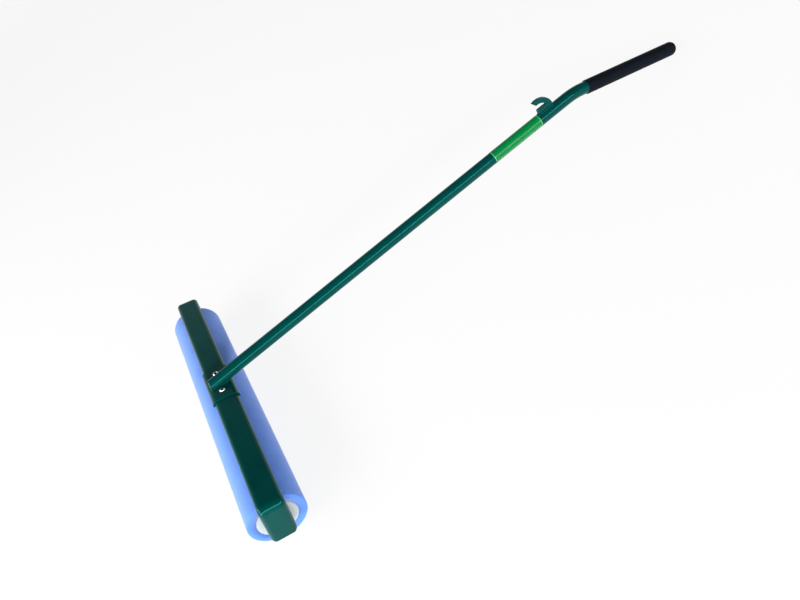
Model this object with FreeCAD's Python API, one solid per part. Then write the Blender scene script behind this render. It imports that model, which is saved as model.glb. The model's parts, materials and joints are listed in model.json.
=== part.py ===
import FreeCAD
import Part
import math
import os

# Tennis court squeegee: a foam roller in a pressed steel frame, on a bent tube handle.
# Sizes are in millimetres and angles in degrees.
# Every piece is first built upright: X along the roller's axis, Z square to the frame bar,
# Y the way the handle leaves it, with the origin in the middle of the roller.
# Then the whole squeegee is laid down as it rests on a floor, on its roller and on the tip
# of its grip, with the origin on the floor under the middle of the roller.
# The near end of the roller is at +X and the far end at -X.

# Roller
roller_length = 610.0
core_diameter = 75.0
core_wall = 3.6
foam_thickness = 16.0
foam_edge_radius = 1.0
glue_gap = 0.05

# End plugs of the roller
plug_flange_thickness = 3.0
plug_flange_step = 0.4
plug_depth = 26.0
plug_rim = 3.0
plug_web = 5.0
plug_hub_wall = 6.0
press_gap = 0.05

# Axle, bushes and thrust washers
axle_diameter = 12.0
axle_chamfer = 1.0
running_clearance = 0.05
bush_wall = 2.5
bush_flange_rim = 3.45
bush_flange_thickness = 2.5
thrust_washer_rim = 5.45
thrust_washer_thickness = 2.0
end_float = 0.4

# Frame bar: a channel with an ear bent down at each end
bar_width = 47.0
bar_depth = 10.0
bar_sheet = 2.5
bar_corner_radius = 9.0
bar_flange_bend_radius = 4.0
ear_drop = 20.0
ear_corner_radius = 9.0
axle_hole_clearance = 0.3

# Fastening of the axle in the ears
boss_wall = 6.0
boss_blind_wall = 5.0
thread_gap = 0.05
axle_nut_wall = 3.0
axle_nut_height = 10.0
axle_lock_nut_height = 12.0
axle_lock_nut_collar = 2.5
axle_lock_nut_collar_step = 1.0
axle_washer_rim = 5.5
axle_washer_thickness = 2.5
axle_washer_clearance = 0.5
axle_end_overhang = 1.5
spacer_length = 6.1
spacer_wall = 2.5
spacer_clearance = 0.2

# The flat that is left on a nut's face, beyond the circle inside its flats, and its turned corners
nut_face_land = 0.15
nut_corner_angle = 30.0

# Saddle bracket and its bolts
saddle_sheet = 3.5
saddle_side_gap = 0.3
saddle_end_margin = 20.5
bolt_diameter = 6.0
bolt_thread_end = 0.8
bolt_foot_gap = 4.5
bolt_roller_gap = 2.6
bolt_head_rim = 2.25
bolt_head_height = 3.3
bolt_socket_across_flats = 4.0
bolt_socket_depth = 2.2
bolt_hole_clearance = 0.3
bolt_washer_rim = 3.05
bolt_washer_thickness = 1.6
bolt_washer_clearance = 0.2
bolt_nut_wall = 2.0
bolt_nut_height = 6.0
bolt_nut_collar = 1.2
bolt_nut_collar_step = 0.5

# Handle tube
tube_diameter = 25.4
tube_wall = 1.6
handle_rise = 18.7
handle_height = 8.5
foot_reach = 18.0
foot_bead = 3.0
straight_length = 922.0
elbow_angle = 15.9
elbow_radius = 150.0

# Hanging hook, a flat plate on the upper side of the tube
hook_bend_gap = 32.5
hook_plate = 5.0
hook_arm_width = 11.0
hook_throat_radius = 22.5
hook_centre_inset = 3.5
hook_base_height = 12.0
hook_tip_angle = 97.0
hook_tip_slant = 30.0
hook_bead = 2.5

# Label on the tube, its edges measured round the tube from its upper side
label_weld_gap = 0.5
label_length = 124.5
label_near_angle = 116.0
label_far_angle = -65.0
label_thickness = 0.3

# Grip on the bent end of the tube
grip_bend_gap = 9.2
grip_length = 238.0
grip_wall = 1.65
grip_crown_flat = 2.4
grip_end_wall = 9.0
grip_lip_radius = 0.8
grip_gap = 0.05
end_plug_flange = 2.0
end_plug_depth = 16.0

# Sizes of the roller and the axle that follow from the ones above
roller_radius = core_diameter / 2 + glue_gap + foam_thickness
half_roller = roller_length / 2
axle_radius = axle_diameter / 2
thread_radius = axle_radius + thread_gap
bush_bore = axle_radius + running_clearance
bush_radius = bush_bore + bush_wall
bush_inner_end = half_roller - plug_depth
washer_place = half_roller + bush_flange_thickness + end_float
stack_start = washer_place + thrust_washer_thickness
spacer_end = stack_start + spacer_length
ear_inside = spacer_end + axle_nut_height + axle_washer_thickness
ear_outside = ear_inside + bar_sheet
axle_nut_across_flats = axle_diameter + 2 * axle_nut_wall
axle_washer_hole = axle_radius + axle_washer_clearance
axle_washer_radius = axle_washer_hole + axle_washer_rim
axle_near_end = ear_inside - boss_blind_wall
lock_nut_start = ear_outside + axle_washer_thickness
lock_nut_end = lock_nut_start + axle_lock_nut_height

# Sizes of the bar and the saddle, whose bolt ends stand clear of the roller
bar_foam_gap = bolt_washer_thickness + bolt_nut_height + bolt_thread_end + bolt_roller_gap
web_underside = roller_radius + bar_foam_gap
web_top = web_underside + bar_sheet
saddle_top = web_top + saddle_sheet
saddle_width = bar_width + 2 * (saddle_side_gap + saddle_sheet)
saddle_corner_radius = bar_corner_radius + saddle_sheet
bolt_seat = saddle_top + bolt_washer_thickness
bolt_nut_seat = web_underside - bolt_washer_thickness
bolt_length = bolt_seat - bolt_nut_seat + bolt_nut_height + bolt_thread_end
bolt_nut_across_flats = bolt_diameter + 2 * bolt_nut_wall
bolt_washer_hole = bolt_diameter / 2 + bolt_washer_clearance
bolt_washer_radius = bolt_washer_hole + bolt_washer_rim

# Sizes of the handle, and places along it from the middle of the bar
tube_radius = tube_diameter / 2
handle_base_height = web_top + handle_height
bolt_place = tube_radius + foot_bead + bolt_foot_gap + bolt_washer_radius
saddle_length = 2 * (bolt_place + saddle_end_margin)
elbow_tangent = elbow_radius * math.tan(math.radians(elbow_angle / 2))
bend_start = straight_length - elbow_tangent
hook_outer_radius = hook_throat_radius + hook_arm_width
hook_length = hook_centre_inset + hook_outer_radius
hook_place = bend_start - hook_bend_gap - hook_length
label_start = hook_place - hook_bead - label_weld_gap - label_length

# Places along the bent end of the tube, from the corner of the elbow
grip_radius = tube_radius + grip_gap + grip_wall
grip_dome_radius = grip_radius - grip_crown_flat
grip_start = elbow_tangent + grip_bend_gap
grip_end = grip_start + grip_length
tube_end = grip_end - grip_end_wall - end_plug_flange

X = FreeCAD.Vector(1, 0, 0)
Y = FreeCAD.Vector(0, 1, 0)
Z = FreeCAD.Vector(0, 0, 1)
ORIGIN = FreeCAD.Vector(0, 0, 0)

# Longer than the whole squeegee, for the blocks and bars that cut it
big = 2000.0


# Shapes that several pieces use

def rounded_wire(corners):
    """A closed flat outline. Each corner is its point and its radius, which is 0 where it is sharp."""
    edges = []
    ends = []
    count = len(corners)
    for index, (point, radius) in enumerate(corners):
        if radius == 0:
            ends.append((point, point))
            continue
        before = (corners[index - 1][0] - point).normalize()
        after = (corners[(index + 1) % count][0] - point).normalize()
        half = before.getAngle(after) / 2
        start = point + before * (radius / math.tan(half))
        end = point + after * (radius / math.tan(half))
        inward = (before + after).normalize()
        middle = point + inward * (radius / math.sin(half) - radius)
        edges.append(Part.Arc(start, middle, end).toShape())
        ends.append((start, end))
    for index in range(count):
        edges.append(Part.makeLine(ends[index - 1][1], ends[index][0]))
    return Part.Wire(Part.__sortEdges__(edges))


def turned_x(corners):
    """A solid of revolution about X. Each corner is a place along X, a height and a radius."""
    points = [(FreeCAD.Vector(x, 0, height), radius) for x, height, radius in corners]
    return Part.Face(rounded_wire(points)).revolve(ORIGIN, X, 360)


def cylinder_x(radius, start, end):
    """A solid round bar along X from start to end."""
    return Part.makeCylinder(radius, end - start, X * start, X)


def ring_x(outer, inner, start, end):
    """A round tube along X, with its outside and inside radius."""
    return cylinder_x(outer, start, end).cut(cylinder_x(inner, start, end))


def cylinder_y(radius, start, end):
    """A solid round bar along Y from start to end."""
    return Part.makeCylinder(radius, end - start, Y * start, Y)


def hexagon_x(across_flats, start, end):
    """A hexagonal bar along X."""
    corner = across_flats / math.sqrt(3)
    points = []
    for step in range(6):
        turn = math.radians(step * 60)
        points.append(FreeCAD.Vector(start, corner * math.cos(turn), corner * math.sin(turn)))
    points.append(points[0])
    return Part.Face(Part.makePolygon(points)).extrude(X * (end - start))


def nut_x(across_flats, start, end):
    """A hexagonal bar along X whose corners are turned off on both faces."""
    corner = across_flats / math.sqrt(3)
    face_radius = across_flats / 2 + nut_face_land
    lower = (corner - face_radius) * math.tan(math.radians(nut_corner_angle))
    blank = turned_x([
        (start, 0, 0), (start, face_radius, 0), (start + lower, corner, 0),
        (end - lower, corner, 0), (end, face_radius, 0), (end, 0, 0),
    ])
    return hexagon_x(across_flats, start, end).common(blank)


def mirrored(shape):
    """The same piece at the far end."""
    return shape.mirror(ORIGIN, X)


def stood_up(shape, x, z):
    """A piece that was built along X, stood up along Z with its zero at the place given."""
    turned = shape.copy()
    turned.rotate(ORIGIN, Y, -90)
    turned.translate(FreeCAD.Vector(x, 0, z))
    return turned


def to_handle(shape):
    """Put a piece built along the handle (Y along the tube, Z its upper side) in its place."""
    placed = shape.copy()
    placed.rotate(ORIGIN, X, handle_rise)
    placed.translate(Z * handle_base_height)
    return placed


def to_grip(shape):
    """Put a piece built along the bent end of the tube, from the elbow, in its place."""
    placed = shape.copy()
    placed.rotate(ORIGIN, X, -elbow_angle)
    placed.translate(Y * straight_length)
    return to_handle(placed)


# Roller and its bearings

def roller_foam_sleeve():
    bore = core_diameter / 2 + glue_gap
    return turned_x([
        (-half_roller, bore, 0), (-half_roller, roller_radius, foam_edge_radius),
        (half_roller, roller_radius, foam_edge_radius), (half_roller, bore, 0),
    ])


def roller_core_pipe():
    length = half_roller - plug_flange_thickness
    return ring_x(core_diameter / 2, core_diameter / 2 - core_wall, -length, length)


def near_end_plug():
    flange_start = half_roller - plug_flange_thickness
    flange = cylinder_x(core_diameter / 2 - plug_flange_step, flange_start, half_roller)
    outside = core_diameter / 2 - core_wall - press_gap
    body = cylinder_x(outside, bush_inner_end, flange_start)
    seat = bush_radius + press_gap
    hollow = ring_x(outside - plug_rim, seat + plug_hub_wall, bush_inner_end, half_roller - plug_web)
    bore = cylinder_x(seat, bush_inner_end, half_roller)
    return flange.fuse(body).cut(hollow).cut(bore).removeSplitter()


def near_bush():
    sleeve = cylinder_x(bush_radius, bush_inner_end, half_roller)
    flange_end = half_roller + bush_flange_thickness
    flange = cylinder_x(bush_radius + bush_flange_rim, half_roller, flange_end)
    return sleeve.fuse(flange).cut(cylinder_x(bush_bore, bush_inner_end, flange_end))


def near_thrust_washer():
    return ring_x(bush_bore + thrust_washer_rim, bush_bore, washer_place, stack_start)


# Axle and its fastening

def axle_rod():
    start = -(lock_nut_end + axle_end_overhang)
    tip = axle_radius - axle_chamfer
    return turned_x([
        (start, 0, 0), (start, tip, 0), (start + axle_chamfer, axle_radius, 0),
        (axle_near_end - axle_chamfer, axle_radius, 0), (axle_near_end, tip, 0), (axle_near_end, 0, 0),
    ])


def near_axle_boss():
    boss = cylinder_x(thread_radius + boss_wall, stack_start, ear_inside)
    return boss.cut(cylinder_x(thread_radius, stack_start, axle_near_end))


def far_spacer_sleeve():
    hole = axle_radius + spacer_clearance
    return mirrored(ring_x(hole + spacer_wall, hole, stack_start, spacer_end))


def far_inner_nut():
    nut_end = spacer_end + axle_nut_height
    nut = nut_x(axle_nut_across_flats, spacer_end, nut_end)
    return mirrored(nut.cut(cylinder_x(thread_radius, spacer_end, nut_end)))


def far_inner_washer():
    start = ear_inside - axle_washer_thickness
    return mirrored(ring_x(axle_washer_radius, axle_washer_hole, start, ear_inside))


def far_outer_washer():
    return mirrored(ring_x(axle_washer_radius, axle_washer_hole, ear_outside, lock_nut_start))


def far_lock_nut():
    collar_start = lock_nut_end - axle_lock_nut_collar
    collar_radius = axle_nut_across_flats / 2 - axle_lock_nut_collar_step
    nut = nut_x(axle_nut_across_flats, lock_nut_start, collar_start)
    nut = nut.fuse(cylinder_x(collar_radius, collar_start, lock_nut_end))
    return mirrored(nut.cut(cylinder_x(thread_radius, lock_nut_start, lock_nut_end)))


# Frame bar and saddle

def channel_face(width, top, depth, sheet, corner):
    """The cross-section of a channel that opens downwards, at x = 0."""
    half = width / 2
    foot = top - depth
    corners = [
        (-half, foot, 0), (-half, top, corner), (half, top, corner), (half, foot, 0),
        (half - sheet, foot, 0), (half - sheet, top - sheet, corner - sheet),
        (sheet - half, top - sheet, corner - sheet), (sheet - half, foot, 0),
    ]
    return Part.Face(rounded_wire([(FreeCAD.Vector(0, y, z), radius) for y, z, radius in corners]))


def ear_outline_block():
    """A block of the ear's outline seen along X: straight sides and two round lower corners."""
    half = bar_width / 2
    corners = [
        (-half, web_top, 0), (half, web_top, 0),
        (half, -ear_drop, ear_corner_radius), (-half, -ear_drop, ear_corner_radius),
    ]
    outline = rounded_wire([(FreeCAD.Vector(0, y, z), radius) for y, z, radius in corners])
    return Part.Face(outline).extrude(X * big)


def near_half_bar():
    """Half of the channel, the bend at its end, and the ear that hangs from it."""
    face = channel_face(bar_width, web_top, bar_depth, bar_sheet, bar_corner_radius)
    bend_radius = bar_depth + bar_flange_bend_radius
    bend_place = ear_outside - bend_radius
    web = face.extrude(X * bend_place)
    pivot = FreeCAD.Vector(bend_place, 0, web_top - bend_radius)
    moved = face.copy()
    moved.translate(X * bend_place)
    bend = moved.revolve(pivot, Y, 90)
    moved.rotate(pivot, Y, 90)
    ear = moved.extrude(Z * -(pivot.z + ear_drop)).common(ear_outline_block())
    return web.fuse([bend, ear])


def at_bolts(shape, height):
    """A pair of the piece given, which was built along X, at the two bolts of the saddle."""
    return Part.makeCompound([stood_up(shape, x, height) for x in (-bolt_place, bolt_place)])


def bolt_holes():
    return at_bolts(cylinder_x(bolt_diameter / 2 + bolt_hole_clearance, 0, big), 0)


def frame_bar():
    half = near_half_bar()
    bar = half.fuse(mirrored(half)).removeSplitter()
    far_hole = cylinder_x(axle_radius + axle_hole_clearance, -big, 0)
    return bar.cut(far_hole).cut(bolt_holes())


def saddle_bracket():
    depth = bar_depth + saddle_sheet
    face = channel_face(saddle_width, saddle_top, depth, saddle_sheet, saddle_corner_radius)
    face.translate(X * (-saddle_length / 2))
    return face.extrude(X * saddle_length).cut(bolt_holes())


def saddle_block(grow):
    """The saddle as a filled block, grown on its top and sides."""
    half = saddle_width / 2 + grow
    top = saddle_top + grow
    corner = saddle_corner_radius + grow
    corners = [(-half, 0, 0), (-half, top, corner), (half, top, corner), (half, 0, 0)]
    start = -saddle_length / 2
    outline = rounded_wire([(FreeCAD.Vector(start, y, z), radius) for y, z, radius in corners])
    return Part.Face(outline).extrude(X * saddle_length)


def saddle_bolts():
    head_radius = bolt_diameter / 2 + bolt_head_rim
    crown_radius = (bolt_head_height ** 2 + head_radius ** 2) / (2 * bolt_head_height)
    crown = Part.makeSphere(crown_radius, X * (bolt_head_height - crown_radius))
    head = cylinder_x(head_radius, 0, bolt_head_height).common(crown)
    socket_start = bolt_head_height - bolt_socket_depth
    socket = hexagon_x(bolt_socket_across_flats, socket_start, bolt_head_height)
    bolt = cylinder_x(bolt_diameter / 2, -bolt_length, 0).fuse(head).cut(socket)
    return at_bolts(bolt, bolt_seat)


def saddle_bolt_washers():
    return at_bolts(ring_x(bolt_washer_radius, bolt_washer_hole, 0, bolt_washer_thickness), saddle_top)


def saddle_nut_washers():
    washer = ring_x(bolt_washer_radius, bolt_washer_hole, -bolt_washer_thickness, 0)
    return at_bolts(washer, web_underside)


def saddle_lock_nuts():
    collar_start = bolt_nut_collar - bolt_nut_height
    collar_radius = bolt_nut_across_flats / 2 - bolt_nut_collar_step
    nut = nut_x(bolt_nut_across_flats, collar_start, 0)
    nut = nut.fuse(cylinder_x(collar_radius, -bolt_nut_height, collar_start))
    return at_bolts(nut.cut(cylinder_x(bolt_diameter / 2 + thread_gap, -bolt_nut_height, 0)), bolt_nut_seat)


# Handle

def handle_run(radius, start, end):
    """What the tube's section sweeps, from start on the straight part to end on the bent one."""
    circle = Part.makeCircle(radius, Y * bend_start, Y)
    pivot = FreeCAD.Vector(0, bend_start, -elbow_radius)
    bend = Part.Face(Part.Wire(circle)).revolve(pivot, X, -elbow_angle)
    straight = cylinder_y(radius, start, bend_start)
    last = cylinder_y(radius, elbow_tangent, end)
    return to_handle(straight).fuse([to_handle(bend), to_grip(last)])


def handle_side(reach):
    """A block of everything from the foot's end, square to the bar, towards the grip."""
    return Part.makeBox(big, big, big, FreeCAD.Vector(-big / 2, -reach, 0))


def handle_tube():
    outer = handle_run(tube_radius, -big / 2, tube_end)
    inner = handle_run(tube_radius - tube_wall, -big / 2, tube_end)
    tube = outer.cut(inner).common(handle_side(foot_reach))
    return tube.cut(saddle_block(0)).removeSplitter()


def handle_foot_weld():
    """The bead round the tube's cut foot and the plug of weld that closes its open end."""
    tube = to_handle(cylinder_y(tube_radius, -big / 2, bend_start))
    grown = to_handle(cylinder_y(tube_radius + foot_bead, -big / 2, bend_start))
    round_bead = handle_side(foot_reach + foot_bead)
    end_fill = tube.common(round_bead).cut(handle_side(foot_reach))
    ring = grown.common(round_bead).common(saddle_block(foot_bead))
    ring = ring.cut(tube.common(handle_side(foot_reach)))
    return ring.fuse(end_fill).cut(saddle_block(0)).removeSplitter()


def hook_plate_block(y, z, length, height):
    """A block of the hook plate's thickness."""
    return Part.makeBox(hook_plate, length, height, FreeCAD.Vector(-hook_plate / 2, y, z))


def hook_disc(radius):
    """A disc of the hook plate's thickness about the middle of its arc, on the tube's surface."""
    middle = FreeCAD.Vector(-hook_plate / 2, hook_place + hook_centre_inset, tube_radius)
    return Part.makeCylinder(radius, hook_plate, middle, X)


def hook_blank():
    """The hook plate before it is shaped to the tube: an arm that curls back over a base."""
    middle_y = hook_place + hook_centre_inset
    arm = hook_disc(hook_outer_radius).cut(hook_disc(hook_throat_radius))
    # The arm ends in a slanted cut through its inner corner, with its point on the outside
    turn = math.radians(hook_tip_angle)
    inner_y = middle_y + hook_throat_radius * math.cos(turn)
    inner_z = tube_radius + hook_throat_radius * math.sin(turn)
    front = hook_plate_block(0, -big / 2, big, big)
    front.rotate(ORIGIN, X, hook_tip_angle - 90 + hook_tip_slant)
    front.translate(FreeCAD.Vector(0, inner_y, inner_z))
    above = hook_plate_block(middle_y - hook_outer_radius, tube_radius, 2 * hook_outer_radius, big)
    arm = arm.common(front).common(above)
    base = hook_plate_block(middle_y, 0, hook_outer_radius, tube_radius + hook_base_height)
    base = base.common(hook_disc(hook_outer_radius))
    toe = hook_plate_block(hook_place, 0, hook_centre_inset, tube_radius + hook_base_height)
    return arm.fuse([base, toe]).removeSplitter()


def hanging_hook():
    return to_handle(hook_blank().cut(cylinder_y(tube_radius, 0, bend_start)))


def hook_weld():
    start = hook_place - hook_bead
    length = hook_length + 2 * hook_bead
    width = hook_plate + 2 * hook_bead
    shell = cylinder_y(tube_radius + hook_bead, start, start + length)
    shell = shell.cut(cylinder_y(tube_radius, start, start + length))
    strip = Part.makeBox(width, length, big, FreeCAD.Vector(-width / 2, start, 0))
    return to_handle(shell.common(strip).cut(hook_blank()))


def label_band():
    inner = tube_radius + glue_gap
    span = label_near_angle - label_far_angle
    band = Part.makeCylinder(inner + label_thickness, label_length, ORIGIN, Z, span)
    band = band.cut(Part.makeCylinder(inner, label_length, ORIGIN, Z))
    # The part cylinder starts at X and turns about Z, and then Z is laid along the tube
    band.rotate(ORIGIN, X, -90)
    band.rotate(ORIGIN, Y, label_far_angle - 90)
    band.translate(Y * label_start)
    return to_handle(band)


def laid_along_grip(shape):
    """A piece that was built along X, laid along the bent end of the tube."""
    laid = shape.copy()
    laid.rotate(ORIGIN, Z, 90)
    return to_grip(laid)


def grip_sleeve():
    bore = tube_radius + grip_gap
    bore_end = grip_end - grip_end_wall
    return laid_along_grip(turned_x([
        (grip_start, bore, 0), (grip_start, grip_radius, grip_lip_radius),
        (grip_end, grip_radius, grip_dome_radius), (grip_end, 0, 0), (bore_end, 0, 0), (bore_end, bore, 0),
    ]))


def handle_end_plug():
    stem_radius = tube_radius - tube_wall - press_gap
    stem_start = tube_end - end_plug_depth
    flange_end = tube_end + end_plug_flange
    return laid_along_grip(turned_x([
        (stem_start, 0, 0), (stem_start, stem_radius, 0), (tube_end, stem_radius, 0),
        (tube_end, tube_radius, 0), (flange_end, tube_radius, 0), (flange_end, 0, 0),
    ]))


# The squeegee as it lies on the floor

def lean_angle():
    """How far the upright squeegee leans over, so that its grip's round end touches the floor."""
    rise = math.radians(handle_rise)
    slope = math.radians(handle_rise - elbow_angle)
    along = grip_end - grip_dome_radius
    below = grip_radius - grip_dome_radius
    y = straight_length * math.cos(rise) + along * math.cos(slope) + below * math.sin(slope)
    z = handle_base_height + straight_length * math.sin(rise) + along * math.sin(slope)
    z -= below * math.cos(slope)
    drop = roller_radius - grip_dome_radius
    return math.degrees(math.atan2(z, y) + math.asin(drop / math.hypot(y, z)))


def laid_down(shape):
    """The piece as it lies, with the roller's lowest line on the floor."""
    placed = shape.copy()
    placed.rotate(ORIGIN, X, -lean_angle())
    placed.translate(Z * roller_radius)
    return placed


pieces = {
    "roller_foam_sleeve": roller_foam_sleeve(),
    "roller_core_pipe": roller_core_pipe(),
    "near_end_plug": near_end_plug(),
    "far_end_plug": mirrored(near_end_plug()),
    "near_bush": near_bush(),
    "far_bush": mirrored(near_bush()),
    "near_thrust_washer": near_thrust_washer(),
    "far_thrust_washer": mirrored(near_thrust_washer()),
    "axle_rod": axle_rod(),
    "near_axle_boss": near_axle_boss(),
    "far_spacer_sleeve": far_spacer_sleeve(),
    "far_inner_nut": far_inner_nut(),
    "far_inner_washer": far_inner_washer(),
    "far_outer_washer": far_outer_washer(),
    "far_lock_nut": far_lock_nut(),
    "frame_bar": frame_bar(),
    "saddle_bracket": saddle_bracket(),
    "saddle_bolts": saddle_bolts(),
    "saddle_bolt_washers": saddle_bolt_washers(),
    "saddle_nut_washers": saddle_nut_washers(),
    "saddle_lock_nuts": saddle_lock_nuts(),
    "handle_tube": handle_tube(),
    "handle_foot_weld": handle_foot_weld(),
    "hanging_hook": hanging_hook(),
    "hook_weld": hook_weld(),
    "label_band": label_band(),
    "grip_sleeve": grip_sleeve(),
    "handle_end_plug": handle_end_plug(),
}

os.makedirs("parts", exist_ok=True)
for name, shape in pieces.items():
    laid_down(shape).exportStep("parts/" + name + ".step")
print("lean", round(lean_angle(), 3), "pieces", len(pieces))
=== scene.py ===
import json
import math

import bmesh
import bpy
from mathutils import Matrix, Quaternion, Vector, noise
from mathutils.bvhtree import BVHTree


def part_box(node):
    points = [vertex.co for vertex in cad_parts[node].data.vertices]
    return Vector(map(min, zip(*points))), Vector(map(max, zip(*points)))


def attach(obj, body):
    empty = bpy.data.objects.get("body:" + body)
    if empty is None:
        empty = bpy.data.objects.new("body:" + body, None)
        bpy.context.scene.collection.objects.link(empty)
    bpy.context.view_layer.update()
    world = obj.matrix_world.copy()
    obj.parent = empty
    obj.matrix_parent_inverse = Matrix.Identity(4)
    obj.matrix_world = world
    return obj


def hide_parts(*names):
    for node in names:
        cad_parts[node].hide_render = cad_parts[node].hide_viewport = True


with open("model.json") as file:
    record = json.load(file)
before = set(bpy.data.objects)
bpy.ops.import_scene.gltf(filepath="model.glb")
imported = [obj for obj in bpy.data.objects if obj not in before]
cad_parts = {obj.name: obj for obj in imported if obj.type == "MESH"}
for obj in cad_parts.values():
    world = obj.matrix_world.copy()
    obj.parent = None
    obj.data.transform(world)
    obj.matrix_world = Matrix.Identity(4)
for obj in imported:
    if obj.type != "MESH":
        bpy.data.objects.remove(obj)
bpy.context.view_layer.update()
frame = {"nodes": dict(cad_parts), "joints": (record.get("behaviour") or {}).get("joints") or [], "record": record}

# The squeegee lies on its roller and on the tip of its grip. X runs along the roller, Y along
# the handle, Z up, and the floor is at z = 0. Sizes are in metres unless a name ends in _MM.
MM = 0.001
ROLLER_AXIS = Vector(frame["joints"][0]["pos_m"])
X = Vector((1, 0, 0))
mounts = {mount["name"]: mount for mount in frame["record"]["mounts"]}
TUBE_POINT = Vector(mounts["handle_tube_clip"]["pos_m"])
TUBE_AXIS = Vector(mounts["handle_tube_clip"]["axis"]).normalized()
TUBE_UP = X.cross(TUBE_AXIS)
TUBE_RADIUS = 12.7 * MM
GRIP_POINT = Vector(mounts["grip_end"]["pos_m"])
GRIP_AXIS = Vector(mounts["grip_end"]["axis"]).normalized()
GRIP_RADIUS = mounts["grip_end"]["dims"]["r_mm"] * MM

# The handle rises from the frame bar at this angle, which gives the bar's own upward direction
HANDLE_RISE = math.radians(18.7)
BAR_ALONG = Quaternion(X, -HANDLE_RISE) @ TUBE_AXIS
BAR_UP = X.cross(BAR_ALONG)


# Materials

def hex_colour(code):
    """An sRGB hex colour as a linear colour with alpha."""
    channels = [int(code[i:i + 2], 16) / 255 for i in (1, 3, 5)]
    linear = [c / 12.92 if c <= 0.04045 else ((c + 0.055) / 1.055) ** 2.4 for c in channels]
    return (*linear, 1.0)


def fill_inputs(tree, node, inputs):
    """Sets each named input of a node, or links it where its value is another node's output."""
    for name, value in inputs.items():
        if isinstance(value, bpy.types.NodeSocket):
            tree.links.new(value, node.inputs[name])
        else:
            node.inputs[name].default_value = value


def add(tree, kind, settings, inputs):
    """Adds a shader node with its own settings and with what its inputs are set or linked to."""
    node = tree.nodes.new("ShaderNode" + kind)
    for name, value in settings.items():
        setattr(node, name, value)
    fill_inputs(tree, node, inputs)
    return node


def per_metre(size_mm):
    """The pattern scale that gives features of a real size."""
    return 1000 / size_mm


def new_material(name):
    """A material with its node tree, and the object's own coordinates for its patterns."""
    material = bpy.data.materials.new(name)
    material.use_nodes = True
    tree = material.node_tree
    place = add(tree, "TexCoord", {}, {}).outputs["Object"]
    return material, tree, place


def set_surface(tree, inputs):
    """Sets or links what the material's Principled shader is given."""
    fill_inputs(tree, tree.nodes["Principled BSDF"], inputs)


# Inputs of the Mix node, which has no names of its own for its colours
FACTOR = 0
FIRST_COLOUR = 6
SECOND_COLOUR = 7
MIXED_COLOUR = 2


def powder_coated_steel(name, bend_place=None):
    """Mild steel under teal polyester powder, sprayed on and baked in one coat.

    The melted powder levels to a gloss that is never quite flat. Faint orange peel softens the
    edges of reflections, and the coat is a little deeper in colour where it lies thick. A sheet
    bent sharply has stretched skin, whose wrinkles catch the light as a row of small sparkles.
    """
    material, tree, place = new_material(name)
    thickness = add(tree, "TexNoise", {}, {"Vector": place, "Scale": per_metre(45), "Detail": 3.0})
    colour = add(tree, "Mix", {"data_type": "RGBA"}, {
        FACTOR: thickness.outputs["Fac"],
        FIRST_COLOUR: hex_colour("#00332f"),
        SECOND_COLOUR: hex_colour("#004442"),
    })
    handling = add(tree, "TexNoise", {}, {"Vector": place, "Scale": per_metre(18), "Detail": 4.0})
    rubbed = add(tree, "MapRange", {}, {
        "Value": handling.outputs["Fac"], "From Min": 0.3, "From Max": 0.7,
        "To Min": 0.08, "To Max": 0.13,
    })
    # Real orange peel is 1 to 2 mm across, and twice that is the finest that shows here
    peel = add(tree, "TexNoise", {}, {"Vector": place, "Scale": per_metre(4), "Detail": 1.0})
    skin = add(tree, "Bump", {}, {
        "Height": peel.outputs["Fac"], "Strength": 0.1, "Distance": 0.015 * MM,
    })
    if bend_place:
        along = add(tree, "SeparateXYZ", {}, {"Vector": place})
        to_end = add(tree, "Math", {"operation": "ABSOLUTE"}, {0: along.outputs["X"]})
        past_bend = add(tree, "Math", {"operation": "SUBTRACT"}, {
            0: to_end.outputs["Value"], 1: bend_place,
        })
        from_bend = add(tree, "Math", {"operation": "ABSOLUTE"}, {0: past_bend.outputs["Value"]})
        at_bend = add(tree, "MapRange", {}, {
            "Value": from_bend.outputs["Value"], "From Min": 3 * MM, "From Max": 6.5 * MM,
            "To Min": 1.0, "To Max": 0.0,
        })
        wrinkles = add(tree, "TexNoise", {}, {"Vector": place, "Scale": per_metre(2.2), "Detail": 1.0})
        raised = add(tree, "Math", {"operation": "MULTIPLY"}, {
            0: at_bend.outputs["Result"], 1: wrinkles.outputs["Fac"],
        })
        skin = add(tree, "Bump", {}, {
            "Height": raised.outputs["Value"], "Strength": 0.9, "Distance": 0.15 * MM,
            "Normal": skin.outputs["Normal"],
        })
    set_surface(tree, {
        "Base Color": colour.outputs[MIXED_COLOUR],
        "Roughness": rubbed.outputs["Result"],
        "IOR": 1.35,
        "Specular IOR Level": 0.4,
        "Specular Tint": hex_colour("#7efff6"),
        "Normal": skin.outputs["Normal"],
    })
    return material


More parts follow.
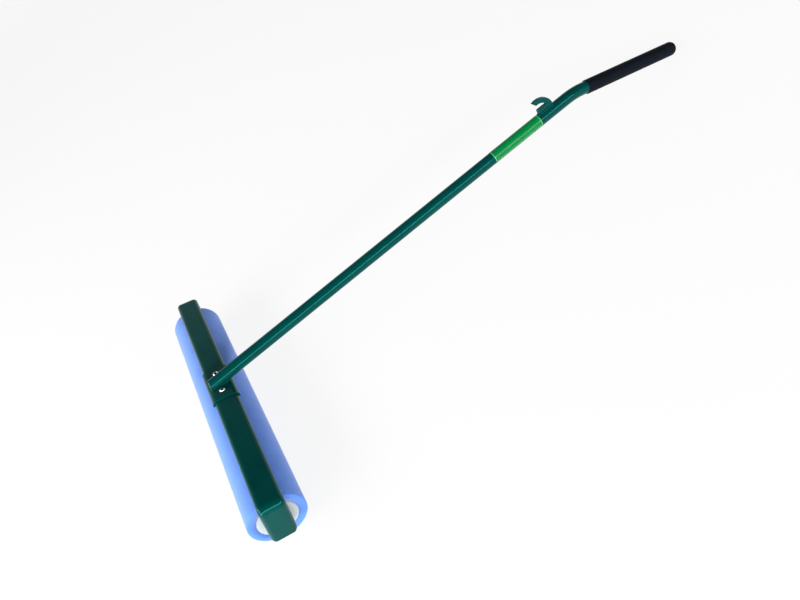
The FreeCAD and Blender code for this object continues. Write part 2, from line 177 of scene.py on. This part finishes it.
def open_cell_foam():
    """Blue polyether foam, sliced with a blade: a matt skin of cut cells, soft at its edges.

    Light sinks into the cut cells, so the foam has no gloss, only a pale bloom at its edges; the
    shade in each cell's hollow is painted into its colour. Its blue drifts a little where the block was denser.
    """
    material, tree, place = new_material("open_cell_foam")
    density = add(tree, "TexNoise", {}, {"Vector": place, "Scale": per_metre(28), "Detail": 5.0})
    base = add(tree, "Mix", {"data_type": "RGBA"}, {
        FACTOR: density.outputs["Fac"],
        FIRST_COLOUR: hex_colour("#4b7bd6"),
        SECOND_COLOUR: hex_colour("#5c8ce2"),
    })
    # Real cells are 0.5 to 1 mm across, and are drawn half as large again so that they show
    cells = add(tree, "TexVoronoi", {}, {"Vector": place, "Scale": per_metre(1.5)})
    wall = add(tree, "MapRange", {}, {
        "Value": cells.outputs["Distance"], "From Min": 0.0, "From Max": 0.45,
        "To Min": 0.0, "To Max": 1.0,
    })
    # Painted shade: each cell is painted darker towards its middle, where its hollow lies
    painted_pore_shade = add(tree, "Mix", {"data_type": "RGBA"}, {
        FACTOR: wall.outputs["Result"],
        FIRST_COLOUR: hex_colour("#dce4f4"),
        SECOND_COLOUR: hex_colour("#ffffff"),
    })
    colour = add(tree, "Mix", {"data_type": "RGBA", "blend_type": "MULTIPLY"}, {
        FACTOR: 1.0,
        FIRST_COLOUR: base.outputs[MIXED_COLOUR],
        SECOND_COLOUR: painted_pore_shade.outputs[MIXED_COLOUR],
    })
    pores = add(tree, "Bump", {}, {
        "Height": wall.outputs["Result"], "Strength": 0.5, "Distance": 0.35 * MM,
    })
    set_surface(tree, {
        "Base Color": colour.outputs[MIXED_COLOUR],
        "Roughness": 0.95,
        "IOR": 1.35,
        "Sheen Weight": 0.35,
        "Sheen Roughness": 0.5,
        "Normal": pores.outputs["Normal"],
    })
    return material


def extruded_pvc():
    """The roller's core, rigid white PVC pipe drawn through a die.

    It is satin, a cool white dimmed to a pale grey as painted shade, never quite even, with faint
    lines along the pipe where the die dragged.
    """
    material, tree, place = new_material("extruded_pvc")
    blend = add(tree, "TexNoise", {}, {"Vector": place, "Scale": per_metre(20), "Detail": 3.0})
    # Painted shade: the pipe's white is dimmed to pale grey, standing in for the shade on the roller's end
    colour = add(tree, "Mix", {"data_type": "RGBA"}, {
        FACTOR: blend.outputs["Fac"],
        FIRST_COLOUR: hex_colour("#aeb5b9"),
        SECOND_COLOUR: hex_colour("#c4c9cc"),
    })
    # The drag lines are 0.6 mm apart round the pipe and some thirty times as long
    stretched = add(tree, "Mapping", {}, {"Vector": place, "Scale": (0.03, 1.0, 1.0)})
    drag = add(tree, "TexNoise", {}, {
        "Vector": stretched.outputs["Vector"], "Scale": per_metre(0.6), "Detail": 2.0,
    })
    lines = add(tree, "Bump", {}, {
        "Height": drag.outputs["Fac"], "Strength": 0.4, "Distance": 0.01 * MM,
    })
    set_surface(tree, {
        "Base Color": colour.outputs[MIXED_COLOUR],
        "Roughness": 0.32,
        "IOR": 1.53,
        "Normal": lines.outputs["Normal"],
    })
    return material


def moulded_nylon():
    """The roller's end plugs, white nylon moulded in a spark-eroded tool.

    The tool leaves an even matt grain; its white, dimmed by painted shade, is greyer and deeper than the pipe's.
    """
    material, tree, place = new_material("moulded_nylon")
    flow = add(tree, "TexNoise", {}, {"Vector": place, "Scale": per_metre(14), "Detail": 3.0})
    # Painted shade: the plug's white is dimmed to grey, standing in for the shade on the roller's end
    colour = add(tree, "Mix", {"data_type": "RGBA"}, {
        FACTOR: flow.outputs["Fac"],
        FIRST_COLOUR: hex_colour("#a3acb0"),
        SECOND_COLOUR: hex_colour("#b8c0c4"),
    })
    # Real spark grain is 0.1 mm, and is drawn five times as coarse so that it shows
    grain = add(tree, "TexVoronoi", {}, {"Vector": place, "Scale": per_metre(0.5)})
    texture = add(tree, "Bump", {}, {
        "Height": grain.outputs["Distance"], "Strength": 0.35, "Distance": 0.03 * MM,
    })
    set_surface(tree, {
        "Base Color": colour.outputs[MIXED_COLOUR],
        "Roughness": 0.42,
        "IOR": 1.53,
        "Normal": texture.outputs["Normal"],
    })
    return material


def turned_acetal():
    """The bushes and thrust washers, natural acetal turned from bar.

    It is a milky ivory with a slippery satin shine, and the tool's feed leaves fine rings.
    """
    material, tree, place = new_material("turned_acetal")
    milk = add(tree, "TexNoise", {}, {"Vector": place, "Scale": per_metre(8), "Detail": 2.0})
    colour = add(tree, "Mix", {"data_type": "RGBA"}, {
        FACTOR: milk.outputs["Fac"],
        FIRST_COLOUR: hex_colour("#d3d2c8"),
        SECOND_COLOUR: hex_colour("#ebeae4"),
    })
    # The feed is 0.2 mm a turn, and its rings are drawn 0.5 mm apart so that they show
    stretched = add(tree, "Mapping", {}, {"Vector": place, "Scale": (1.0, 0.04, 0.04)})
    feed = add(tree, "TexNoise", {}, {
        "Vector": stretched.outputs["Vector"], "Scale": per_metre(0.5), "Detail": 1.0,
    })
    rings = add(tree, "Bump", {}, {
        "Height": feed.outputs["Fac"], "Strength": 0.4, "Distance": 0.015 * MM,
    })
    set_surface(tree, {
        "Base Color": colour.outputs[MIXED_COLOUR],
        "Roughness": 0.35,
        "IOR": 1.48,
        "Normal": rings.outputs["Normal"],
    })
    return material


def printed_vinyl(name, low, high):
    """The label's cast vinyl film, printed and stuck on by hand.

    The ink lies a shade uneven, and the film is glossy but rides over specks under it, so its
    reflections wander a little along the tube.
    """
    material, tree, place = new_material(name)
    ink = add(tree, "TexNoise", {}, {"Vector": place, "Scale": per_metre(9), "Detail": 4.0})
    colour = add(tree, "Mix", {"data_type": "RGBA"}, {
        FACTOR: ink.outputs["Fac"],
        FIRST_COLOUR: hex_colour(low),
        SECOND_COLOUR: hex_colour(high),
    })
    specks = add(tree, "TexNoise", {}, {"Vector": place, "Scale": per_metre(5), "Detail": 1.0})
    film = add(tree, "Bump", {}, {
        "Height": specks.outputs["Fac"], "Strength": 0.15, "Distance": 0.02 * MM,
    })
    set_surface(tree, {
        "Base Color": colour.outputs[MIXED_COLOUR],
        "Roughness": 0.2,
        "IOR": 1.5,
        "Specular IOR Level": 0.22,
        "Normal": film.outputs["Normal"],
    })
    return material


def nitrile_foam():
    """The grip, closed-cell nitrile foam extruded as a sleeve and moulded shut at its end.

    Its skin of tiny bubbles is blue-black and nearly matt, so only its soft edges catch light.
    """
    material, tree, place = new_material("nitrile_foam")
    bloom = add(tree, "TexNoise", {}, {"Vector": place, "Scale": per_metre(14), "Detail": 4.0})
    colour = add(tree, "Mix", {"data_type": "RGBA"}, {
        FACTOR: bloom.outputs["Fac"],
        FIRST_COLOUR: hex_colour("#04070d"),
        SECOND_COLOUR: hex_colour("#0c131f"),
    })
    # Real bubbles are 0.3 mm across, and are drawn as 0.9 mm so that they show
    bubbles = add(tree, "TexVoronoi", {}, {"Vector": place, "Scale": per_metre(0.9)})
    skin = add(tree, "Bump", {}, {
        "Height": bubbles.outputs["Distance"], "Strength": 0.5, "Distance": 0.12 * MM,
    })
    set_surface(tree, {
        "Base Color": colour.outputs[MIXED_COLOUR],
        "Roughness": 0.6,
        "IOR": 1.4,
        "Specular IOR Level": 0.1,
        "Normal": skin.outputs["Normal"],
    })
    return material


def moulded_polythene():
    """The plug inside the handle's end, black polythene with a waxy, finely grained skin."""
    material, tree, place = new_material("moulded_polythene")
    wax = add(tree, "TexNoise", {}, {"Vector": place, "Scale": per_metre(6), "Detail": 3.0})
    colour = add(tree, "Mix", {"data_type": "RGBA"}, {
        FACTOR: wax.outputs["Fac"],
        FIRST_COLOUR: hex_colour("#08080a"),
        SECOND_COLOUR: hex_colour("#161617"),
    })
    grain = add(tree, "TexNoise", {}, {"Vector": place, "Scale": per_metre(0.5), "Detail": 2.0})
    texture = add(tree, "Bump", {}, {
        "Height": grain.outputs["Fac"], "Strength": 0.4, "Distance": 0.02 * MM,
    })
    set_surface(tree, {
        "Base Color": colour.outputs[MIXED_COLOUR],
        "Roughness": 0.5,
        "IOR": 1.51,
        "Normal": texture.outputs["Normal"],
    })
    return material


def zinc_plated_steel():
    """The axle, its nuts and the plain washers: turned steel under bright zinc.

    Zinc is a bluish grey metal with soft clouds in it. It blurs what it reflects, and it is duller
    where hands and spanners have been. The turning shows as fine rings under the plate.
    """
    material, tree, place = new_material("zinc_plated_steel")
    clouds = add(tree, "TexNoise", {}, {"Vector": place, "Scale": per_metre(6), "Detail": 4.0})
    colour = add(tree, "Mix", {"data_type": "RGBA"}, {
        FACTOR: clouds.outputs["Fac"],
        FIRST_COLOUR: hex_colour("#a9aeb4"),
        SECOND_COLOUR: hex_colour("#d9dcdf"),
    })
    dulled = add(tree, "MapRange", {}, {
        "Value": clouds.outputs["Fac"], "From Min": 0.3, "From Max": 0.7,
        "To Min": 0.2, "To Max": 0.36,
    })
    stretched = add(tree, "Mapping", {}, {"Vector": place, "Scale": (1.0, 0.05, 0.05)})
    turning = add(tree, "TexNoise", {}, {
        "Vector": stretched.outputs["Vector"], "Scale": per_metre(0.4), "Detail": 2.0,
    })
    rings = add(tree, "Bump", {}, {
        "Height": turning.outputs["Fac"], "Strength": 0.4, "Distance": 0.012 * MM,
    })
    set_surface(tree, {
        "Base Color": colour.outputs[MIXED_COLOUR],
        "Metallic": 1.0,
        "Roughness": dulled.outputs["Result"],
        "Normal": rings.outputs["Normal"],
    })
    return material


def chromed_steel():
    """The saddle's bolts and their washers: cold-headed steel under bright chrome.

    It is a hard mirror, broken only by the shallow dents of heading and by a few finger marks.
    """
    material, tree, place = new_material("chromed_steel")
    marks = add(tree, "TexNoise", {}, {"Vector": place, "Scale": per_metre(4), "Detail": 4.0})
    colour = add(tree, "Mix", {"data_type": "RGBA"}, {
        FACTOR: marks.outputs["Fac"],
        FIRST_COLOUR: hex_colour("#d6d9de"),
        SECOND_COLOUR: hex_colour("#f2f3f5"),
    })
    fingered = add(tree, "MapRange", {}, {
        "Value": marks.outputs["Fac"], "From Min": 0.4, "From Max": 0.7,
        "To Min": 0.06, "To Max": 0.18,
    })
    dents = add(tree, "TexNoise", {}, {"Vector": place, "Scale": per_metre(1.5), "Detail": 1.0})
    heading = add(tree, "Bump", {}, {
        "Height": dents.outputs["Fac"], "Strength": 0.3, "Distance": 0.02 * MM,
    })
    set_surface(tree, {
        "Base Color": colour.outputs[MIXED_COLOUR],
        "Metallic": 1.0,
        "Roughness": fingered.outputs["Result"],
        "Normal": heading.outputs["Normal"],
    })
    return material


# How far along X from the middle the bar starts to bend down into its ears
BAR_BEND_PLACE = 322.5 * MM

coat = powder_coated_steel("powder_coated_steel")
bent_coat = powder_coated_steel("powder_coated_pressing", bend_place=BAR_BEND_PLACE)
foam = open_cell_foam()
pipe = extruded_pvc()
nylon = moulded_nylon()
acetal = turned_acetal()
green_vinyl = printed_vinyl("green_vinyl", "#00662f", "#068643")
pale_line = printed_vinyl("pale_vinyl_line", "#83bd98", "#98cfaa")
black_foam = nitrile_foam()
black_polythene = moulded_polythene()
zinc = zinc_plated_steel()
chrome = chromed_steel()

node_materials = {
    "roller_foam_sleeve": foam, "roller_core_pipe": pipe,
    "near_end_plug": nylon, "far_end_plug": nylon,
    "near_bush": acetal, "far_bush": acetal,
    "near_thrust_washer": acetal, "far_thrust_washer": acetal,
    "axle_rod": zinc, "near_axle_boss": coat, "far_spacer_sleeve": zinc,
    "far_inner_nut": zinc, "far_inner_washer": zinc, "far_outer_washer": zinc, "far_lock_nut": zinc,
    "frame_bar": bent_coat, "saddle_bracket": coat,
    "saddle_bolts": chrome, "saddle_bolt_washers": chrome,
    "saddle_nut_washers": zinc, "saddle_lock_nuts": zinc,
    "handle_tube": coat, "handle_foot_weld": coat, "hanging_hook": coat, "hook_weld": coat,
    "label_band": green_vinyl, "handle_end_plug": black_polythene, "grip_sleeve": black_foam,
}
for node_name, material in node_materials.items():
    for material_slot in frame["nodes"][node_name].material_slots:
        material_slot.material = material


# Pieces that take the place of the plain solids of foam, weld and label

def new_piece(name, bm, materials, body):
    """Turns a bmesh into a smooth piece that rides on its body."""
    bmesh.ops.recalc_face_normals(bm, faces=bm.faces)
    mesh = bpy.data.meshes.new(name)
    bm.to_mesh(mesh)
    bm.free()
    for polygon in mesh.polygons:
        polygon.use_smooth = True
    for material in materials:
        mesh.materials.append(material)
    piece = bpy.data.objects.new(name, mesh)
    bpy.context.scene.collection.objects.link(piece)
    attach(piece, body)
    return piece


def skin_rings(bm, rings, joined=False):
    """Joins rings of points with faces, and the last ring to the first where they are joined."""
    loops = [[bm.verts.new(point) for point in ring] for ring in rings]
    pairs = list(zip(loops, loops[1:]))
    if joined:
        pairs.append((loops[-1], loops[0]))
    for lower, upper in pairs:
        for i in range(len(lower)):
            j = (i + 1) % len(lower)
            bm.faces.new((lower[i], lower[j], upper[j], upper[i]))
    return loops


def close_ring(bm, loop, centre):
    """Closes a ring of vertices with a fan of faces round its centre."""
    middle = bm.verts.new(centre)
    for i, vertex in enumerate(loop):
        bm.faces.new((vertex, loop[(i + 1) % len(loop)], middle))


def ring_round(centre, axis, radius, count):
    """A ring of points round an axis."""
    side = X if abs(axis.x) < 0.5 else Vector((0, 1, 0))
    up = axis.cross(side)
    turns = [2 * math.pi * i / count for i in range(count)]
    return [centre + (side * math.cos(turn) + up * math.sin(turn)) * radius for turn in turns]


def reach_along(node, origin, axis):
    """The lowest and highest place of a CAD node along an axis."""
    places = [(vertex.co - origin).dot(axis) for vertex in frame["nodes"][node].data.vertices]
    return min(places), max(places)


def steps_between(start, end, step):
    """Even places from start to end, at most a step apart."""
    count = max(1, math.ceil(abs(end - start) / step))
    return [start + (end - start) * i / count for i in range(count + 1)]


def rounded_edge(place, radius, corner, inward, count=6):
    """Profile points of a quarter round at a turned end: inward is the way from the end, 1 or -1."""
    points = []
    for i in range(count + 1):
        turn = math.pi / 2 * i / count
        along = place + inward * corner * (1 - math.sin(turn))
        points.append((along, radius - corner * (1 - math.cos(turn))))
    return points if inward < 0 else points[::-1]


def foam_sleeve():
    """The roller's foam: a cut tube that swells and dips a little along its length."""
    low, high = reach_along("roller_foam_sleeve", ROLLER_AXIS, X)
    box_low, box_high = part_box("roller_foam_sleeve")
    outer = (box_high.z - box_low.z) / 2
    bore = 37.6 * MM
    corner = 2.2 * MM
    deepest_dip = 0.35 * MM
    dips_per_metre = 26
    bore_step = 30 * MM
    skin_step = 5 * MM
    sides = 160
    profile = [(place, bore) for place in steps_between(high, low, bore_step)]
    profile += rounded_edge(low, outer, corner, 1)
    profile += [(place, outer) for place in steps_between(low + corner, high - corner, skin_step)[1:-1]]
    profile += rounded_edge(high, outer, corner, -1)
    bm = bmesh.new()
    rings = []
    for place, radius in profile:
        centre = ROLLER_AXIS + X * place
        ring = ring_round(centre, X, radius, sides)
        if radius > bore:
            for i, point in enumerate(ring):
                dip = 0.5 + 0.5 * noise.noise(point * dips_per_metre)
                ring[i] = point - (point - centre).normalized() * dip * deepest_dip
        rings.append(ring)
    skin_rings(bm, rings, joined=True)
    sleeve = new_piece("foam_sleeve", bm, [foam], "roller")
    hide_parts("roller_foam_sleeve")


def foam_grip():
    """The grip: a closed-cell foam sleeve with a rolled lip and a domed end."""
    start, end = reach_along("grip_sleeve", GRIP_POINT, GRIP_AXIS)
    lip = 1.1 * MM
    dome = 12 * MM
    bore = TUBE_RADIUS + 0.05 * MM
    bore_end = start + 8 * MM
    skin_step = 3 * MM
    sides = 96
    profile = [(bore_end, bore), (start, bore)]
    profile += rounded_edge(start, GRIP_RADIUS, lip, 1)
    profile += [(place, GRIP_RADIUS) for place in steps_between(start + lip, end - dome, skin_step)[1:-1]]
    profile += rounded_edge(end, GRIP_RADIUS, dome, -1, count=14)
    bm = bmesh.new()
    rings = []
    for place, radius in profile:
        rings.append(ring_round(GRIP_POINT + GRIP_AXIS * place, GRIP_AXIS, radius, sides))
    loops = skin_rings(bm, rings)
    close_ring(bm, loops[0], GRIP_POINT + GRIP_AXIS * bore_end)
    close_ring(bm, loops[-1], GRIP_POINT + GRIP_AXIS * end)
    grip = new_piece("foam_grip", bm, [black_foam], "frame")
    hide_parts("grip_sleeve")


# The distance between the ripples that a weld's puddles leave
WELD_PITCH = 2.7 * MM


def even_path(points, step):
    """Points an even step apart along a closed path."""
    lengths = [(b - a).length for a, b in zip(points, points[1:] + points[:1])]
    total = sum(lengths)
    count = round(total / step)
    path = []
    index = 0
    passed = 0.0
    for i in range(count):
        wanted = total * i / count
        while passed + lengths[index] < wanted:
            passed += lengths[index]
            index += 1
        share = (wanted - passed) / lengths[index]
        path.append(points[index].lerp(points[(index + 1) % len(points)], share))
    return path


def weld_bead(bm, corners, radius, up):
    """A closed weld bead along a path, rippled where one puddle froze over the last."""
    steps_in_ripple = 8
    wander_per_metre = 160
    sides = 14
    turns = [2 * math.pi * k / sides for k in range(sides)]
    path = even_path(corners, WELD_PITCH / steps_in_ripple)
    rings = []
    for i, centre in enumerate(path):
        along = (path[(i + 2) % len(path)] - path[i - 2]).normalized()
        side = along.cross(up).normalized()
        rise = side.cross(along)
        ripple = abs(math.sin(math.pi * i / steps_in_ripple))
        wander = noise.noise(centre * wander_per_metre)
        thick = radius * (0.84 + 0.12 * ripple + 0.08 * wander)
        ring = [centre + (side * math.cos(turn) + rise * math.sin(turn)) * thick for turn in turns]
        rings.append(ring)
    skin_rings(bm, rings, joined=True)


def foot_weld():
    """The bead round the foot of the handle, and the weld that fills the tube's cut end."""
    saddle_mesh = frame["nodes"]["saddle_bracket"].data
    saddle = BVHTree.FromPolygons(
        [vertex.co for vertex in saddle_mesh.vertices],
        [polygon.vertices for polygon in saddle_mesh.polygons])
    bead_radius = 2.6 * MM
    # The bead goes round the under half of the tube, and a little past it at each side
    half_arc = math.radians(94)
    corners = []
    for turn in steps_between(-half_arc, half_arc, math.radians(3)):
        radial = X * math.sin(turn) - TUBE_UP * math.cos(turn)
        start = TUBE_POINT + radial * (TUBE_RADIUS + 0.2 * bead_radius)
        hit = saddle.ray_cast(start, -TUBE_AXIS)[0]
        if hit:
            corners.append(hit)
    set_back = BAR_ALONG * (1.5 * MM)
    # Its last side crosses below the tube's cut end
    corners += [corners[-1] - set_back, corners[0] - set_back]
    bm = bmesh.new()
    weld_bead(bm, corners, bead_radius, BAR_UP)
    # The tube is cut square to the bar, and a crowned plug of weld fills the cut
    cut = reach_along("handle_tube", TUBE_POINT, BAR_ALONG)[0]
    rim_radius = TUBE_RADIUS - 0.15 * MM
    rim = []
    for turn in steps_between(0, 2 * math.pi, math.radians(6))[:-1]:
        radial = X * math.sin(turn) + TUBE_UP * math.cos(turn)
        start = TUBE_POINT + radial * rim_radius
        travel = (cut - (start - TUBE_POINT).dot(BAR_ALONG)) / TUBE_AXIS.dot(BAR_ALONG)
        rim.append(start + TUBE_AXIS * travel)
    centre = sum(rim, Vector()) / len(rim)
    plug_back = BAR_ALONG * (1 * MM)
    crown = 2.2 * MM
    ripple_height = 0.3 * MM
    ripple_wander = 0.8
    wander_per_metre = 90
    ring_share = 0.04
    rings = [[point + plug_back for point in rim]]
    for share in steps_between(1, ring_share, ring_share):
        ring = []
        for point in rim:
            spot = centre + (point - centre) * share
            wander = ripple_wander * noise.noise(spot * wander_per_metre)
            puddle = share * TUBE_RADIUS / WELD_PITCH + wander
            bulge = crown * (1 - share ** 2) + ripple_height * abs(math.sin(math.pi * puddle)) * share
            ring.append(spot - BAR_ALONG * bulge)
        rings.append(ring)
    loops = skin_rings(bm, rings)
    close_ring(bm, loops[0], centre + plug_back)
    close_ring(bm, loops[-1], centre - BAR_ALONG * crown)
    weld = new_piece("foot_weld_bead", bm, [coat], "frame")
    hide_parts("handle_foot_weld")


def hook_weld():
    """The bead round the base of the hook's plate, along the top of the tube."""
    bead_radius = 2 * MM
    foot_height = TUBE_RADIUS + 1 * MM
    from_tube = [vertex.co - TUBE_POINT for vertex in frame["nodes"]["hanging_hook"].data.vertices]
    foot = [offset.dot(TUBE_AXIS) for offset in from_tube if offset.dot(TUBE_UP) < foot_height]
    half_width = 2.9 * MM
    end_reach = 1.2 * MM
    corners = []
    for place, first_turn in ((max(foot), 0), (min(foot), math.pi)):
        for turn in steps_between(first_turn, first_turn + math.pi, math.radians(30)):
            across = half_width * math.cos(turn)
            along = place + end_reach * math.sin(turn)
            height = math.sqrt(TUBE_RADIUS ** 2 - across ** 2)
            corners.append(TUBE_POINT + TUBE_AXIS * along + X * across + TUBE_UP * height)
    bm = bmesh.new()
    weld_bead(bm, corners, bead_radius, TUBE_UP)
    weld = new_piece("hook_weld_bead", bm, [coat], "frame")
    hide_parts("hook_weld")


def sheet_stops(length, border_stops, step):
    """Places across a sheet: close together in its borders, and a step apart between them."""
    border = border_stops[-1]
    between = steps_between(border, length - border, step)[1:-1]
    return border_stops + between + [length - stop for stop in reversed(border_stops)]


def edge_distance(stops, i):
    """How far the middle of one strip of a sheet is from the sheet's nearer edge."""
    middle = (stops[i] + stops[i + 1]) / 2
    return min(middle, stops[-1] - middle)


def tube_label():
    """The printed label: a thin film round part of the tube, with round corners and a pale line."""
    start, end = reach_along("label_band", TUBE_POINT, TUBE_AXIS)
    near_turn = math.radians(116)
    far_turn = math.radians(-65)
    outside = TUBE_RADIUS + 0.35 * MM
    inside = TUBE_RADIUS + 0.05 * MM
    corner = 4 * MM
    line_start = 1.4 * MM
    line_end = 2.1 * MM
    width = (near_turn - far_turn) * outside
    length = end - start
    row_step = 1.2 * MM
    column_step = 6 * MM
    # The first rows lie close together, where the round corners turn fastest
    arc_stops = [share * corner for share in (0, 0.02, 0.08, 0.2)]
    rows = sheet_stops(width, arc_stops + [line_start, line_end, corner], row_step)
    columns = sheet_stops(length, [0, line_start, line_end, corner], column_step)
    rings = []
    for row in rows:
        to_side = min(row, width - row)
        cut = corner - math.sqrt(corner ** 2 - max(0, corner - to_side) ** 2)
        turn = far_turn + row / outside
        radial = X * math.sin(turn) + TUBE_UP * math.cos(turn)
        stretch = (length - 2 * cut) / length
        line = [TUBE_POINT + TUBE_AXIS * (start + cut + column * stretch) for column in columns]
        top = [point + radial * outside for point in line]
        under = [point + radial * inside for point in line]
        rings.append(top + under[::-1])
    bm = bmesh.new()
    loops = skin_rings(bm, rings)
    for loop in (loops[0], loops[-1]):
        for i in range(len(columns) - 1):
            bm.faces.new((loop[i], loop[i + 1], loop[-2 - i], loop[-1 - i]))
    bm.faces.ensure_lookup_table()
    for row in range(len(rows) - 1):
        for column in range(len(columns) - 1):
            from_edge = min(edge_distance(rows, row), edge_distance(columns, column))
            if line_start < from_edge < line_end:
                bm.faces[row * len(rings[0]) + column].material_index = 1
    label = new_piece("printed_label", bm, [green_vinyl, pale_line], "frame")
    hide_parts("label_band")


foam_sleeve()
foam_grip()
foot_weld()
hook_weld()
tube_label()


# Floor, lights and camera

def lit_acrylic():
    """The studio's table top: white acrylic lit from below, which leaves only faint shadows."""
    material, tree, place = new_material("lit_acrylic")
    haze = add(tree, "TexNoise", {}, {"Vector": place, "Scale": per_metre(900), "Detail": 2.0})
    colour = add(tree, "Mix", {"data_type": "RGBA"}, {
        FACTOR: haze.outputs["Fac"],
        FIRST_COLOUR: hex_colour("#565656"),
        SECOND_COLOUR: hex_colour("#5a5a5a"),
    })
    set_surface(tree, {
        "Base Color": colour.outputs[MIXED_COLOUR],
        "Emission Color": hex_colour("#ffffff"),
        "Emission Strength": 0.88,
        "Roughness": 0.9,
        "Specular IOR Level": 0.2,
    })
    return material


def studio_floor():
    """A wide round table that turns up into a wall, so that every side view has a pale background."""
    flat_radius = 9.0
    wall_bend = 4.0
    ring_step = 1.0
    sides = 96
    up = Vector((0, 0, 1))
    rings = []
    for radius in steps_between(ring_step, flat_radius, ring_step):
        rings.append(ring_round(Vector(), up, radius, sides))
    for turn in steps_between(0, math.pi / 2, math.radians(7.5))[1:]:
        centre = up * wall_bend * (1 - math.cos(turn))
        rings.append(ring_round(centre, up, flat_radius + wall_bend * math.sin(turn), sides))
    bm = bmesh.new()
    loops = skin_rings(bm, rings)
    close_ring(bm, loops[0], Vector())
    bmesh.ops.recalc_face_normals(bm, faces=bm.faces)
    mesh = bpy.data.meshes.new("studio_floor")
    bm.to_mesh(mesh)
    bm.free()
    for polygon in mesh.polygons:
        polygon.use_smooth = True
    mesh.materials.append(lit_acrylic())
    floor = bpy.data.objects.new("studio_floor", mesh)
    bpy.context.scene.collection.objects.link(floor)


def softbox(name, place, aim, width, height, radiance):
    """A soft rectangular light of a given size that faces a point, its brightness set by area."""
    light = bpy.data.lights.new(name, "AREA")
    light.shape = "RECTANGLE"
    light.size = width
    light.size_y = height
    light.energy = radiance * math.pi * width * height
    lamp = bpy.data.objects.new(name, light)
    lamp.location = place
    lamp.rotation_mode = "QUATERNION"
    lamp.rotation_quaternion = (Vector(aim) - Vector(place)).to_track_quat("-Z", "Y")
    bpy.context.scene.collection.objects.link(lamp)


def studio_light():
    """A white far wall under a dark ceiling, a long strip beyond the near end, and two softboxes."""
    world = bpy.data.worlds.new("studio_room")
    bpy.context.scene.world = world
    world.use_nodes = True
    tree = world.node_tree
    far_and_low = Vector((-1.0, 0.0, -0.8)).normalized()
    direction = add(tree, "TexCoord", {}, {}).outputs["Generated"]
    toward_wall = add(tree, "VectorMath", {"operation": "DOT_PRODUCT"}, {0: direction, 1: far_and_low})
    wall = add(tree, "MapRange", {}, {
        "Value": toward_wall.outputs["Value"], "From Min": 0.0, "From Max": 0.35,
        "To Min": 0.02, "To Max": 0.55,
    })
    fill_inputs(tree, tree.nodes["Background"], {
        "Color": hex_colour("#ffffff"),
        "Strength": wall.outputs["Result"],
    })
    softbox("side_strip", place=(2.9, 0.8, 1.1), aim=(0, 0.8, 0.1), width=4.0, height=0.4, radiance=17.0)
    softbox("near_softbox", place=(2.4, -2.1, 0.5), aim=(0.3, 0, 0.1), width=1.6, height=0.8, radiance=14.0)
    softbox("left_softbox", place=(0.5, -2.5, 1.9), aim=(0, 0, 0.1), width=3.6, height=1.3, radiance=9.5)


# The camera stands off the roller's near end and looks down at the middle of the handle
CAMERA_PLACE = (0.99232, 0.3588, 0.87582)
CAMERA_AIM = (0.0319, 0.4025, 0.0)
CAMERA_ROLL = math.radians(-38.927)
LENS_MM = 28.128
SENSOR_MM = 36.0


def photo_camera():
    """The camera at the photograph's place, rolled so that the handle runs up to the right."""
    lens = bpy.data.cameras.new("photo_camera")
    lens.sensor_width = SENSOR_MM
    lens.lens = LENS_MM
    lens.clip_start = 0.05
    camera = bpy.data.objects.new("photo_camera", lens)
    camera.location = CAMERA_PLACE
    camera.rotation_mode = "QUATERNION"
    aim = (Vector(CAMERA_AIM) - Vector(CAMERA_PLACE)).to_track_quat("-Z", "Y")
    camera.rotation_quaternion = aim @ Quaternion((0, 0, 1), CAMERA_ROLL)
    bpy.context.scene.collection.objects.link(camera)
    bpy.context.scene.camera = camera


studio_floor()
studio_light()
photo_camera()
bpy.context.scene.view_settings.view_transform = "Standard"
